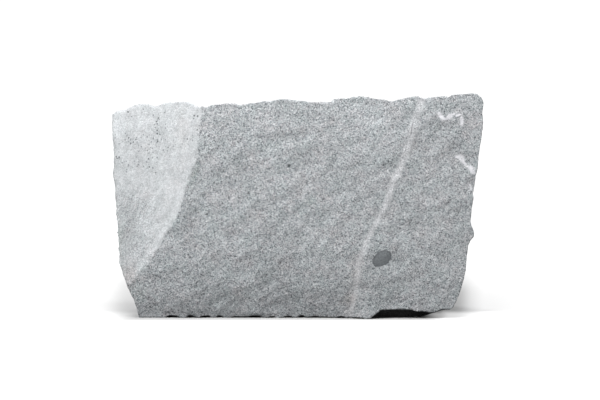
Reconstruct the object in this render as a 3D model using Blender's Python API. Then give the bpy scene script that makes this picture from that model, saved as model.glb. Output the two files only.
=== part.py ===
"""Granite block: one piece of split stone, about 1.24 m long, standing on its
flat underside. Metres, +Z up. X runs along the long front face, -Y is the
front, and the origin is the middle of the bounding box at ground level.

The stone starts as a cube cut into a grid. Each vertex then slides along its
own line, from an inner core box outwards, until it meets the first surface
that bounds the stone: the six split faces, the scars and the broken edges.
Because no two of those lines cross, the result is always one closed body.
A Decimate modifier thins the flat stretches and keeps the arrises, and a
Boolean with the ground takes the underside off flat.
"""
import math

import bmesh
import bpy
import numpy as np

# ---------------------------------------------------------------- dimensions
DEPTH = 0.600            # front to back
FRONT_Y = -DEPTH / 2     # plane of the front face
BACK_Y = DEPTH / 2
GROUND = -0.0035         # height of the ground in the heights given below
ORIGIN_SHIFT = (0.0184, 0.0002, 0.0035)   # puts the origin under the bounding box

GRID = 0.0150            # spacing of the working grid before thinning
KEEP = 0.215             # share of the triangles that Decimate keeps
BURIED = 0.0060          # how far the raw underside dips below the ground

CORE_MIN = (-0.400, -0.120, 0.150)     # inner box that the lines start from
CORE_MAX = (0.400, 0.120, 0.550)
HULL_MIN = (-0.665, -0.330, -0.030)    # outer box that they end on
HULL_MAX = (0.635, 0.330, 0.765)

# Edge of the front face, read as (height, x) up the two sides and as
# (x, height) along the top.
LEFT_EDGE = [(-0.004, -0.522), (0.008, -0.5245), (0.032, -0.5293), (0.058, -0.5365),
             (0.084, -0.550), (0.110, -0.5625), (0.136, -0.575), (0.149, -0.580),
             (0.165, -0.5885), (0.175, -0.593), (0.237, -0.598),
             (0.318, -0.6090), (0.415, -0.6215), (0.450, -0.624), (0.463, -0.6295),
             (0.480, -0.6310), (0.494, -0.627), (0.610, -0.636), (0.668, -0.640),
             (0.682, -0.637), (0.692, -0.621), (0.697, -0.600), (0.760, -0.562)]
RIGHT_EDGE = [(0.000, 0.495), (0.026, 0.496), (0.031, 0.503), (0.052, 0.5145),
              (0.068, 0.5225), (0.106, 0.534), (0.136, 0.5390), (0.160, 0.547), (0.227, 0.553),
              (0.248, 0.559), (0.262, 0.571), (0.278, 0.572), (0.296, 0.564),
              (0.311, 0.5605), (0.360, 0.566), (0.405, 0.5705), (0.438, 0.5755),
              (0.487, 0.584), (0.545, 0.590), (0.594, 0.597), (0.616, 0.600),
              (0.652, 0.6015), (0.668, 0.5995), (0.691, 0.6025), (0.702, 0.6020),
              (0.711, 0.5990), (0.760, 0.584)]
TOP_EDGE = [(-0.640, 0.676), (-0.621, 0.688), (-0.603, 0.6895), (-0.594, 0.6920),
            (-0.587, 0.6930), (-0.581, 0.6945), (-0.575, 0.6990), (-0.568, 0.7010),
            (-0.561, 0.7045), (-0.5545, 0.7060), (-0.548, 0.7090), (-0.541, 0.7100),
            (-0.505, 0.706), (-0.480, 0.697), (-0.461, 0.703), (-0.4255, 0.7085),
            (-0.3695, 0.7065), (-0.357, 0.7040), (-0.350, 0.6995), (-0.343, 0.6965),
            (-0.336, 0.6925), (-0.329, 0.6890), (-0.320, 0.6860), (-0.298, 0.6836),
            (-0.279, 0.691), (-0.241, 0.694), (-0.215, 0.6955), (-0.200, 0.6945),
            (-0.188, 0.691), (-0.146, 0.697), (-0.109, 0.7045), (-0.091, 0.7045),
            (-0.051, 0.7115), (-0.023, 0.7085), (0.003, 0.7050), (0.025, 0.7035),
            (0.045, 0.7005), (0.060, 0.7015), (0.092, 0.6980), (0.104, 0.6970),
            (0.118, 0.7070), (0.141, 0.7130), (0.160, 0.7125), (0.180, 0.7190),
            (0.193, 0.7195), (0.227, 0.7175), (0.251, 0.7115), (0.278, 0.7105),
            (0.305, 0.7040), (0.331, 0.7105), (0.360, 0.7175), (0.392, 0.7210),
            (0.402, 0.7145), (0.412, 0.7105), (0.430, 0.7160), (0.448, 0.7190),
            (0.475, 0.7215), (0.492, 0.7165), (0.498, 0.7240), (0.525, 0.7265),
            (0.564, 0.7300), (0.582, 0.7275), (0.592, 0.7220), (0.599, 0.7130),
            (0.612, 0.7000)]

# Same edges with their notches left out: the run of the faces behind them.
LEFT_RUN = [(0.00, -0.528), (0.08, -0.546), (0.20, -0.592), (0.50, -0.618),
            (0.72, -0.628)]
RIGHT_RUN = [(0.00, 0.520), (0.30, 0.560), (0.72, 0.592)]
TOP_RUN = [(-0.62, 0.693), (-0.30, 0.686), (0.10, 0.703), (0.60, 0.721)]

# How far the foot of the front face is turned under, along the front.
FOOT = [(-0.52, 0.026), (-0.43, 0.026), (-0.35, 0.020), (-0.28, 0.030),
        (0.10, 0.022), (0.17, 0.010), (0.215, -0.010), (0.245, -0.010),
        (0.300, 0.0)]

# The big hollow scar that takes off the front left: part of a sphere.
SCAR_CENTRE = (-1.446, -1.762, 0.792)
SCAR_RADIUS = 1.862

# The recess under the front right corner: its inner edge, as (x, distance
# behind the front plane), the profile of its wall as (distance in from that
# edge, share of the full height), and how high the front edge is over it.
RECESS_EDGE = [(0.218, -0.012), (0.228, 0.006), (0.240, 0.024), (0.262, 0.045),
               (0.372, 0.052), (0.400, 0.064), (0.4225, 0.094), (0.446, 0.153),
               (0.500, 0.280), (0.560, 0.420), (0.620, 0.560), (0.700, 0.740)]
RECESS_WALL = [(0.0, 0.0), (0.004, 0.45), (0.012, 0.86), (0.030, 1.0)]
RECESS_LIP = [(0.218, -0.003), (0.234, -0.0010), (0.250, 0.0085), (0.266, 0.0227),
              (0.279, 0.0246), (0.370, 0.0240), (0.383, 0.0215), (0.412, 0.0180),
              (0.428, 0.0160), (0.441, 0.0170), (0.4605, 0.0233), (0.470, 0.0253),
              (0.493, 0.0266), (0.520, 0.0300)]

# Flat breaks: (a point on the break, its outward normal).
BREAKS = [
    ((0.520, 0.236, 0.360), (0.74, 0.66, 0.10)),        # back right edge
    ((-0.560, 0.228, 0.300), (-0.66, 0.74, -0.10)),     # back left edge
    ((0.120, 0.286, 0.655), (0.10, 0.62, 0.78)),        # back top edge
    ((-0.300, 0.282, 0.045), (-0.20, 0.72, -0.66)),     # back bottom edge
    ((0.560, 0.060, 0.672), (0.70, 0.20, 0.70)),     # right top edge
]

# Hollow breaks: (centre, radius), each a part of a sphere.
HOLLOWS = [
    ((0.020, 0.250, 1.640), 0.990),      # shallow dish in the top
    ((-0.520, 0.640, 0.860), 0.455),     # back left top corner
    ((0.300, 0.985, 0.190), 0.720),      # low on the back
    ((1.040, 0.110, 0.270), 0.510),      # low on the right side
    ((-0.960, 0.130, 0.540), 0.372),     # middle of the left side
]

# The surfaces in the order that bounds_at gives them.
FRONT, BACK, LEFT, RIGHT, TOP, BOTTOM, SCAR = range(7)


# ------------------------------------------------------------ seeded noise
def lattice(ix, iy, iz, seed):
    """Three numbers in -1..1 for each corner of the noise lattice."""
    with np.errstate(over="ignore"):
        h = (ix.astype(np.uint32) * np.uint32(0x8DA6B343)
             ^ iy.astype(np.uint32) * np.uint32(0xD8163841)
             ^ iz.astype(np.uint32) * np.uint32(0xCB1AB31F)
             ^ np.uint32((seed * 2654435761) & 0xFFFFFFFF))
        h ^= h >> np.uint32(15)
        h *= np.uint32(0x2C1B3C6D)
        h ^= h >> np.uint32(12)
        h *= np.uint32(0x297A2D39)
        h ^= h >> np.uint32(15)
    return ((h & np.uint32(1023)) / 511.5 - 1.0,
            ((h >> np.uint32(10)) & np.uint32(1023)) / 511.5 - 1.0,
            ((h >> np.uint32(20)) & np.uint32(1023)) / 511.5 - 1.0)


def noise(p, size, seed):
    """Smooth gradient noise, about -0.6..0.6, with lumps of the given size."""
    q = p / np.asarray(size, float)
    base = np.floor(q)
    f = q - base
    i = base.astype(np.int64)
    s = f * f * f * (f * (f * 6.0 - 15.0) + 10.0)
    total = np.zeros(len(q))
    for dx in (0, 1):
        wx = s[:, 0] if dx else 1.0 - s[:, 0]
        for dy in (0, 1):
            wy = s[:, 1] if dy else 1.0 - s[:, 1]
            for dz in (0, 1):
                wz = s[:, 2] if dz else 1.0 - s[:, 2]
                gx, gy, gz = lattice(i[:, 0] + dx, i[:, 1] + dy, i[:, 2] + dz, seed)
                dot = (gx * (f[:, 0] - dx) + gy * (f[:, 1] - dy)
                       + gz * (f[:, 2] - dz))
                total += wx * wy * wz * dot
    return total


def scoops(p, size, bowl, tilt, drop, seed):
    """Overlapping shallow flake scars: the lowest of many tilted bowls, which
    leaves hollows with sharp ridges between them, as broken stone has."""
    q = p / size
    i = np.floor(q).astype(np.int64)
    best = np.full(len(p), 1e9)
    for dx in (-1, 0, 1):
        for dy in (-1, 0, 1):
            for dz in (-1, 0, 1):
                jx, jy, jz = i[:, 0] + dx, i[:, 1] + dy, i[:, 2] + dz
                a, b, c = lattice(jx, jy, jz, seed)
                ta, tb, tc = lattice(jx, jy, jz, seed + 101)
                o = lattice(jx, jy, jz, seed + 202)[0]
                ox = (q[:, 0] - jx - 0.5 - 0.42 * a) * size
                oy = (q[:, 1] - jy - 0.5 - 0.42 * b) * size
                oz = (q[:, 2] - jz - 0.5 - 0.42 * c) * size
                h = (drop * o + tilt * (ta * ox + tb * oy + tc * oz)
                     + bowl * (ox * ox + oy * oy + oz * oz) / size)
                best = np.minimum(best, h)
    return best


def leaning(p, angle, stretch):
    """Coordinates drawn out along lines that rise to the right at an angle."""
    c, s = math.cos(math.radians(angle)), math.sin(math.radians(angle))
    return np.stack([(p[:, 0] * c + p[:, 2] * s) / stretch, p[:, 1],
                     -p[:, 0] * s + p[:, 2] * c], axis=1)


# ------------------------------------------------------- surfaces of the stone
def along(points, t):
    a = np.array(points)
    return np.interp(t, a[:, 0], a[:, 1])


def step(a, b, t):
    s = np.clip((t - a) / (b - a), 0.0, 1.0)
    return s * s * (3.0 - 2.0 * s)


def scar_depth(x, z):
    """How far behind the front plane the scar lies at x, z (0 outside it)."""
    c, r = SCAR_CENTRE, SCAR_RADIUS
    inside = np.clip(r * r - (x - c[0]) ** 2 - (z - c[2]) ** 2, 0.0, None)
    return np.clip(c[1] + np.sqrt(inside) - FRONT_Y, 0.0, None)


def front_y(x, z):
    p = np.stack([x, np.zeros_like(x), z], axis=1)
    y = FRONT_Y + 0.004 + 0.012 * (1.0 - z / 0.70)
    y = y + along(FOOT, x) * (np.clip(0.105 - z, 0.0, None) / 0.1085) ** 1.4
    y = y + 0.010 * noise(p, 0.34, 11) + 0.006 * noise(p, 0.17, 12)
    return np.maximum(y, FRONT_Y)


def back_y(x, z):
    p = np.stack([x, np.zeros_like(x), z], axis=1)
    y = BACK_Y - 0.004 - 0.030 * (x / 0.6) ** 2 - 0.020 * ((z - 0.33) / 0.4) ** 2
    y = y + 0.030 * noise(p, 0.30, 21) + 0.012 * noise(p, 0.13, 22)
    return np.minimum(y, BACK_Y)


def left_x(y, z):
    edge_y = FRONT_Y + scar_depth(along(LEFT_EDGE, z), z)
    flat = 0.018 + 0.055 * (1.0 - step(0.0, 0.12, z))
    near = np.exp(-np.clip(y - edge_y - flat, 0.0, None) / 0.060)
    p = np.stack([np.zeros_like(y), y, z], axis=1)
    run = along(LEFT_RUN, z) + 0.060 * np.clip(y + 0.05, 0.0, None)
    run = run + 0.022 * noise(p, 0.24, 31) + 0.010 * noise(p, 0.11, 32)
    return near * along(LEFT_EDGE, z) + (1.0 - near) * run


def right_x(y, z):
    near = np.exp(-np.clip(y - FRONT_Y - 0.022, 0.0, None) / 0.055)
    p = np.stack([np.zeros_like(y), y, z], axis=1)
    run = along(RIGHT_RUN, z) - 0.050 * np.clip(y + 0.10, 0.0, None)
    run = run + 0.022 * noise(p, 0.24, 41) + 0.010 * noise(p, 0.11, 42)
    return near * along(RIGHT_EDGE, z) + (1.0 - near) * run


def top_z(x, y):
    edge_y = FRONT_Y + scar_depth(x, along(TOP_EDGE, x))
    near = np.exp(-np.clip(y - edge_y - 0.015, 0.0, None) / 0.050)
    p = np.stack([x, y, np.zeros_like(x)], axis=1)
    run = along(TOP_RUN, x) - 0.030 * np.clip(y, 0.0, None)
    run = run + 0.026 * noise(p, 0.26, 51) + 0.012 * noise(p, 0.12, 52)
    return near * along(TOP_EDGE, x) + (1.0 - near) * run


def recess_s(x, y):
    """Distance from the recess's inner edge, greater than 0 inside the recess."""
    d = y - FRONT_Y
    best = np.full(len(x), 9.0)
    for (a0, b0), (a1, b1) in zip(RECESS_EDGE[:-1], RECESS_EDGE[1:]):
        da, db = a1 - a0, b1 - b0
        f = np.clip(((x - a0) * da + (d - b0) * db) / (da * da + db * db), 0.0, 1.0)
        best = np.minimum(best, np.hypot(x - a0 - f * da, d - b0 - f * db))
    inside = (x > RECESS_EDGE[0][0]) & (d < along(RECESS_EDGE, x))
    return np.where(inside, best, -best)


def recess_rise(x, y):
    """Height of the stone over the ground in the recess, 0 outside it."""
    p = np.stack([x, y, np.zeros_like(x)], axis=1)
    s = recess_s(x, y)
    near = np.exp(-np.clip(y - FRONT_Y - 0.02, 0.0, None) / 0.06)
    high = near * (along(RECESS_LIP, x) - GROUND) + (1.0 - near) * 0.034
    high = high + 0.008 * noise(p, 0.10, 62) * step(0.02, 0.08, s)
    return along(RECESS_WALL, s) * np.clip(high, 0.0, None)


def bottom_z(x, y):
    """The underside: just below the ground, and raised over the recess."""
    p = np.stack([x, y, np.zeros_like(x)], axis=1)
    low = GROUND - BURIED + 0.5 * BURIED * noise(p, 0.16, 61)
    lift = np.maximum(GROUND + recess_rise(x, y), low) - low
    return low + lift * step(0.0, 0.002, recess_s(x, y))


def bounds_at(p):
    """One column for each surface: greater than 0 where a point is outside it."""
    x, y, z = p[:, 0], p[:, 1], p[:, 2]
    g = [front_y(x, z) - y, y - back_y(x, z), left_x(y, z) - x, x - right_x(y, z),
         z - top_z(x, y), bottom_z(x, y) - z,
         SCAR_RADIUS - np.linalg.norm(p - np.array(SCAR_CENTRE), axis=1)]
    for point, normal in BREAKS:
        n = np.array(normal) / np.linalg.norm(normal)
        g.append((p - np.array(point)) @ n)
    for centre, radius in HOLLOWS:
        g.append(radius - np.linalg.norm(p - np.array(centre), axis=1))
    return np.stack(g, axis=1)


def rough(p, g):
    """The coarse relief of the break: low ridges rising to the right on the
    front, calmer in the scar, and deep scoops on the other sides."""
    kind = np.argmax(g, axis=1)
    w = leaning(p, 36.0, 1.45)
    front = 0.0056 * noise(w, 0.060, 71) + 0.0032 * noise(w, 0.033, 72)
    plain = 0.0060 * noise(p, 0.070, 71) + 0.0035 * noise(p, 0.036, 72)
    scoop = (scoops(p, 0.190, 0.22, 0.20, 0.010, 81)
             + 0.8 * scoops(p, 0.085, 0.16, 0.17, 0.004, 84))
    away = (step(0.0, 0.10, -g[:, FRONT]) * step(0.0, 0.08, -g[:, SCAR])
            * step(0.0, 0.07, p[:, 2] - GROUND))
    scoop = np.minimum(scoop, 0.0) * away
    low = step(0.0, 0.014, p[:, 2] - GROUND)
    h = np.where(kind == FRONT, front, np.where(kind == SCAR, 0.35 * plain,
                                                0.6 * plain + scoop))
    return h * np.where(kind == BOTTOM, step(0.008, 0.030, p[:, 2] - GROUND), low)


def snap_to_arrises(p, reach):
    """Moves each point that is nearly on a second surface onto both."""
    g = bounds_at(p)
    order = np.argsort(-g, axis=1)
    pick = np.nonzero(g[np.arange(len(p)), order[:, 1]] > -reach)[0]
    a, b = order[pick, 0], order[pick, 1]
    q, row = p[pick], np.arange(len(pick))
    h = 1e-4
    for _ in range(3):
        g0 = bounds_at(q)
        slope = np.stack([(bounds_at(q + h * np.eye(3)[k]) - g0) / h
                          for k in range(3)], axis=2)
        ga, gb = g0[row, a], g0[row, b]
        na, nb = slope[row, a], slope[row, b]
        aa, bb = (na * na).sum(1), (nb * nb).sum(1)
        ab = (na * nb).sum(1)
        det = aa * bb - ab * ab
        good = det > 0.08 * aa * bb
        det = np.where(good, det, 1.0)
        ka = -(bb * ga - ab * gb) / det
        kb = -(aa * gb - ab * ga) / det
        move = ka[:, None] * na + kb[:, None] * nb
        length = np.linalg.norm(move, axis=1)
        move *= np.minimum(1.0, 0.8 * reach / np.maximum(length, 1e-9))[:, None]
        q = q + move * good[:, None]
    far = np.linalg.norm(q - p[pick], axis=1) > 1.2 * reach
    q[far] = p[pick][far]
    out = p.copy()
    out[pick] = q
    return out


def shape(q):
    """Slides points from the outer box inwards to the surface of the stone."""
    core = np.clip(q, CORE_MIN, CORE_MAX)
    ray = q - core
    lo, hi = np.zeros(len(q)), np.ones(len(q))
    for _ in range(24):
        mid = 0.5 * (lo + hi)
        out = bounds_at(core + ray * mid[:, None]).max(axis=1) > 0.0
        hi = np.where(out, mid, hi)
        lo = np.where(out, lo, mid)
    p = snap_to_arrises(core + ray * lo[:, None], 0.5 * GRID)
    d = ray / np.linalg.norm(ray, axis=1)[:, None]
    return p + d * rough(p, bounds_at(p))[:, None]


# ------------------------------------------------------------------ modelling
def new_collection(name):
    c = bpy.data.collections.new(name)
    bpy.context.scene.collection.children.link(c)
    return c


def move_to(obj, collection):
    for c in list(obj.users_collection):
        c.objects.unlink(obj)
    collection.objects.link(obj)


def cut_grid(bm, axis, cuts):
    """Cuts every edge that runs along one axis into equal lengths."""
    edges = [e for e in bm.edges
             if abs((e.verts[0].co - e.verts[1].co)[axis]) > 1e-6]
    bmesh.ops.subdivide_edges(bm, edges=edges, cuts=cuts, use_grid_fill=True)


def main():
    for obj in list(bpy.data.objects):
        bpy.data.objects.remove(obj, do_unlink=True)
    stone = new_collection("granite_block_model")
    cutters = new_collection("cutters")

    granite = bpy.data.materials.new("granite")
    granite.use_nodes = True
    bsdf = granite.node_tree.nodes["Principled BSDF"]
    bsdf.inputs["Base Color"].default_value = (0.402, 0.418, 0.434, 1.0)
    bsdf.inputs["Roughness"].default_value = 0.85
    bsdf.inputs["Metallic"].default_value = 0.0
    granite.diffuse_color = (0.402, 0.418, 0.434, 1.0)

    # The stone.
    lo, hi = np.array(HULL_MIN), np.array(HULL_MAX)
    bpy.ops.mesh.primitive_cube_add(size=1.0, location=(0.0, 0.0, 0.0))
    block = bpy.context.active_object
    block.name = "granite_block"
    block.data.name = "granite_block"
    move_to(block, stone)

    bm = bmesh.new()
    bm.from_mesh(block.data)
    size = hi - lo
    for v in bm.verts:
        for k in range(3):
            v.co[k] = lo[k] + (v.co[k] + 0.5) * size[k]
    for axis in range(3):
        cut_grid(bm, axis, int(round(size[axis] / GRID)) - 1)
    points = shape(np.array([tuple(v.co) for v in bm.verts]))
    points = points + np.array(ORIGIN_SHIFT)
    for v, co in zip(bm.verts, points):
        v.co = co
    bmesh.ops.recalc_face_normals(bm, faces=bm.faces)
    bm.to_mesh(block.data)
    bm.free()
    block.data.materials.append(granite)

    thin = block.modifiers.new("thin", "DECIMATE")
    thin.decimate_type = "COLLAPSE"
    thin.ratio = KEEP

    # The ground, which the underside is cut off flat against.
    bpy.ops.mesh.primitive_cube_add(size=1.0, location=(0.0, 0.0, -0.25))
    ground = bpy.context.active_object
    ground.name = "ground_cutter"
    for v in ground.data.vertices:
        v.co.x *= 2.0
        v.co.y *= 1.4
        v.co.z *= 0.5
    ground.hide_render = True
    ground.display_type = "WIRE"
    move_to(ground, cutters)

    flat = block.modifiers.new("flat_underside", "BOOLEAN")
    flat.operation = "DIFFERENCE"
    flat.solver = "EXACT"
    flat.object = ground


main()
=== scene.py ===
"""Looks of the granite block: the fine split surface, the stone's material, the
floor, the light and the camera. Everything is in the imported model's frame, in
metres: X along the front, -Y out of the front, Z up."""
import math

import bpy
import numpy as np
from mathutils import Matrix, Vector


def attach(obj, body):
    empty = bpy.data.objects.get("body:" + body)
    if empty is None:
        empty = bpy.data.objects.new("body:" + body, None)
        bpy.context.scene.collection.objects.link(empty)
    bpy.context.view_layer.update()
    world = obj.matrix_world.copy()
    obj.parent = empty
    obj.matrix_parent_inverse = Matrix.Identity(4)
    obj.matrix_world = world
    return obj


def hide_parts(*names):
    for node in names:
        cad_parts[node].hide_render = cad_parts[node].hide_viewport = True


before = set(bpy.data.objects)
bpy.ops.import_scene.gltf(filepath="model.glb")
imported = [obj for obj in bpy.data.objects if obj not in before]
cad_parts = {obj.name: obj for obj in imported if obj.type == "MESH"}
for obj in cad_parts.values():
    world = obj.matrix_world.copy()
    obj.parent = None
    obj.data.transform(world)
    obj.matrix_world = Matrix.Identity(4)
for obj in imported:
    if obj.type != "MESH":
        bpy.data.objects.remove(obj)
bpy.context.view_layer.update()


# ------------------------------------------------------------ the stone's form
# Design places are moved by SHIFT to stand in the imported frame.
DEPTH = 0.600
FRONT_Y = -DEPTH / 2
BACK_Y = DEPTH / 2
SHIFT = np.array([0.0184, 0.0002, 0.0035])
GROUND = -0.0035

SPACING = 0.0042       # working grid on the front
TRIANGLES = 193000      # what the finished stone may have

CORE_MIN = np.array([-0.400, -0.120, 0.150])
CORE_MAX = np.array([0.400, 0.120, 0.550])
HULL_MIN = np.array([-0.665, -0.330, -0.030])
HULL_MAX = np.array([0.635, 0.330, 0.765])

LEFT_EDGE = [(-0.004, -0.522), (0.008, -0.5245), (0.032, -0.5293), (0.058, -0.5365),
             (0.084, -0.550), (0.110, -0.5625), (0.136, -0.575), (0.149, -0.580),
             (0.165, -0.5885), (0.175, -0.593), (0.237, -0.598),
             (0.318, -0.6090), (0.415, -0.6215), (0.450, -0.624), (0.463, -0.6295),
             (0.480, -0.6310), (0.494, -0.627), (0.610, -0.636), (0.668, -0.640),
             (0.682, -0.637), (0.692, -0.621), (0.697, -0.600), (0.760, -0.562)]
RIGHT_EDGE = [(0.000, 0.495), (0.026, 0.496), (0.031, 0.503), (0.052, 0.5145),
              (0.068, 0.5225), (0.106, 0.534), (0.136, 0.5390), (0.160, 0.547), (0.227, 0.553),
              (0.248, 0.559), (0.262, 0.571), (0.278, 0.572), (0.296, 0.564),
              (0.311, 0.5605), (0.360, 0.566), (0.405, 0.5705), (0.438, 0.5755),
              (0.487, 0.584), (0.545, 0.590), (0.594, 0.597), (0.616, 0.600),
              (0.652, 0.6015), (0.668, 0.5995), (0.691, 0.6025), (0.702, 0.6020),
              (0.711, 0.5990), (0.760, 0.584)]
TOP_EDGE = [(-0.640, 0.676), (-0.621, 0.688), (-0.603, 0.6895), (-0.594, 0.6920),
            (-0.587, 0.6930), (-0.581, 0.6945), (-0.575, 0.6990), (-0.568, 0.7010),
            (-0.561, 0.7045), (-0.5545, 0.7060), (-0.548, 0.7090), (-0.541, 0.7100),
            (-0.505, 0.706), (-0.480, 0.697), (-0.461, 0.703), (-0.4255, 0.7085),
            (-0.3695, 0.7065), (-0.357, 0.7040), (-0.350, 0.6995), (-0.343, 0.6965),
            (-0.336, 0.6925), (-0.329, 0.6890), (-0.320, 0.6860), (-0.298, 0.6836),
            (-0.279, 0.691), (-0.241, 0.694), (-0.215, 0.6955), (-0.200, 0.6945),
            (-0.188, 0.691), (-0.146, 0.697), (-0.109, 0.7045), (-0.091, 0.7045),
            (-0.051, 0.7115), (-0.023, 0.7085), (0.003, 0.7050), (0.025, 0.7035),
            (0.045, 0.7005), (0.060, 0.7015), (0.092, 0.6980), (0.104, 0.6970),
            (0.118, 0.7070), (0.141, 0.7130), (0.160, 0.7125), (0.180, 0.7190),
            (0.193, 0.7195), (0.227, 0.7175), (0.251, 0.7115), (0.278, 0.7105),
            (0.305, 0.7040), (0.331, 0.7105), (0.360, 0.7175), (0.392, 0.7210),
            (0.402, 0.7145), (0.412, 0.7105), (0.430, 0.7160), (0.448, 0.7190),
            (0.475, 0.7215), (0.492, 0.7165), (0.498, 0.7240), (0.525, 0.7265),
            (0.564, 0.7300), (0.582, 0.7275), (0.592, 0.7220), (0.599, 0.7130),
            (0.612, 0.7000)]
LEFT_RUN = [(0.00, -0.528), (0.08, -0.546), (0.20, -0.592), (0.50, -0.618),
            (0.72, -0.628)]
RIGHT_RUN = [(0.00, 0.520), (0.30, 0.560), (0.72, 0.592)]
TOP_RUN = [(-0.62, 0.693), (-0.30, 0.686), (0.10, 0.703), (0.60, 0.721)]

# How far the foot of the front face is turned under, along the front.
FOOT = [(-0.52, 0.026), (-0.43, 0.026), (-0.35, 0.020), (-0.28, 0.030),
        (0.10, 0.022), (0.17, 0.010), (0.215, -0.010), (0.245, -0.010),
        (0.300, 0.0)]

SCAR_CENTRE = np.array([-1.446, -1.762, 0.792])
SCAR_RADIUS = 1.862

# The recess under the front right corner: its inner edge, as (x, distance
# behind the front plane), and how high the front edge is over it.
RECESS_EDGE = [(0.218, -0.012), (0.228, 0.006), (0.240, 0.024), (0.262, 0.045),
               (0.372, 0.052), (0.400, 0.064), (0.4225, 0.094), (0.446, 0.153),
               (0.500, 0.280), (0.560, 0.420), (0.620, 0.560), (0.700, 0.740)]
RECESS_WALL = [(0.0, 0.0), (0.004, 0.45), (0.012, 0.86), (0.030, 1.0)]
RECESS_LIP = [(0.218, -0.003), (0.234, -0.0010), (0.250, 0.0085), (0.266, 0.0227),
              (0.279, 0.0246), (0.370, 0.0240), (0.383, 0.0215), (0.412, 0.0180),
              (0.428, 0.0160), (0.441, 0.0170), (0.4605, 0.0233), (0.470, 0.0253),
              (0.493, 0.0266), (0.520, 0.0300)]

BREAKS = [
    ((0.520, 0.236, 0.360), (0.74, 0.66, 0.10)),
    ((-0.560, 0.228, 0.300), (-0.66, 0.74, -0.10)),
    ((0.120, 0.286, 0.655), (0.10, 0.62, 0.78)),
    ((-0.300, 0.282, 0.045), (-0.20, 0.72, -0.66)),
    ((0.560, 0.060, 0.672), (0.70, 0.20, 0.70)),
]
HOLLOWS = [
    ((0.020, 0.250, 1.640), 0.990),
    ((-0.520, 0.640, 0.860), 0.455),
    ((0.300, 0.985, 0.190), 0.720),
    ((1.040, 0.110, 0.270), 0.510),
    ((-0.960, 0.130, 0.540), 0.372),
]

# Small gaps under the front edge: (from x, to x, height).
NICKS = [(-0.438, -0.386, 0.0062), (-0.366, -0.341, 0.0062), (-0.327, -0.282, 0.0052),
         (-0.270, -0.244, 0.0048), (-0.224, -0.110, 0.0050), (-0.097, -0.071, 0.0046),
         (-0.052, -0.011, 0.0046), (0.001, 0.022, 0.0058), (0.026, 0.107, 0.0036),
         (0.126, 0.160, 0.0048), (0.175, 0.214, 0.0032)]
FRONT, BACK, LEFT, RIGHT, TOP, BOTTOM, SCAR = range(7)


def lattice(ix, iy, iz, seed):
    with np.errstate(over="ignore"):
        h = (ix.astype(np.uint32) * np.uint32(0x8DA6B343)
             ^ iy.astype(np.uint32) * np.uint32(0xD8163841)
             ^ iz.astype(np.uint32) * np.uint32(0xCB1AB31F)
             ^ np.uint32((seed * 2654435761) & 0xFFFFFFFF))
        h ^= h >> np.uint32(15)
        h *= np.uint32(0x2C1B3C6D)
        h ^= h >> np.uint32(12)
        h *= np.uint32(0x297A2D39)
        h ^= h >> np.uint32(15)
    return ((h & np.uint32(1023)) / 511.5 - 1.0,
            ((h >> np.uint32(10)) & np.uint32(1023)) / 511.5 - 1.0,
            ((h >> np.uint32(20)) & np.uint32(1023)) / 511.5 - 1.0)


def noise(p, size, seed):
    """Smooth gradient noise, about -0.6..0.6, with lumps of the given size."""
    q = p / np.asarray(size, float)
    base = np.floor(q)
    f = q - base
    i = base.astype(np.int64)
    s = f * f * f * (f * (f * 6.0 - 15.0) + 10.0)
    total = np.zeros(len(q))
    for dx in (0, 1):
        wx = s[:, 0] if dx else 1.0 - s[:, 0]
        for dy in (0, 1):
            wy = s[:, 1] if dy else 1.0 - s[:, 1]
            for dz in (0, 1):
                wz = s[:, 2] if dz else 1.0 - s[:, 2]
                gx, gy, gz = lattice(i[:, 0] + dx, i[:, 1] + dy, i[:, 2] + dz, seed)
                dot = (gx * (f[:, 0] - dx) + gy * (f[:, 1] - dy)
                       + gz * (f[:, 2] - dz))
                total += wx * wy * wz * dot
    return total


def scoops(p, size, bowl, tilt, drop, seed):
    """Overlapping shallow flake scars: the lowest of many tilted bowls, which
    leaves hollows with sharp ridges between them, as broken stone has."""
    q = p / size
    i = np.floor(q).astype(np.int64)
    best = np.full(len(p), 1e9)
    for dx in (-1, 0, 1):
        for dy in (-1, 0, 1):
            for dz in (-1, 0, 1):
                jx, jy, jz = i[:, 0] + dx, i[:, 1] + dy, i[:, 2] + dz
                a, b, c = lattice(jx, jy, jz, seed)
                ta, tb, tc = lattice(jx, jy, jz, seed + 101)
                o = lattice(jx, jy, jz, seed + 202)[0]
                ox = (q[:, 0] - jx - 0.5 - 0.42 * a) * size
                oy = (q[:, 1] - jy - 0.5 - 0.42 * b) * size
                oz = (q[:, 2] - jz - 0.5 - 0.42 * c) * size
                h = (drop * o + tilt * (ta * ox + tb * oy + tc * oz)
                     + bowl * (ox * ox + oy * oy + oz * oz) / size)
                best = np.minimum(best, h)
    return best


def along(points, t):
    a = np.array(points)
    return np.interp(t, a[:, 0], a[:, 1])


def step(a, b, t):
    s = np.clip((t - a) / (b - a), 0.0, 1.0)
    return s * s * (3.0 - 2.0 * s)


def leaning(p, angle, stretch):
    """Coordinates drawn out along lines that rise to the right at an angle."""
    c, s = math.cos(math.radians(angle)), math.sin(math.radians(angle))
    return np.stack([(p[:, 0] * c + p[:, 2] * s) / stretch, p[:, 1],
                     -p[:, 0] * s + p[:, 2] * c], axis=1)


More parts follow.
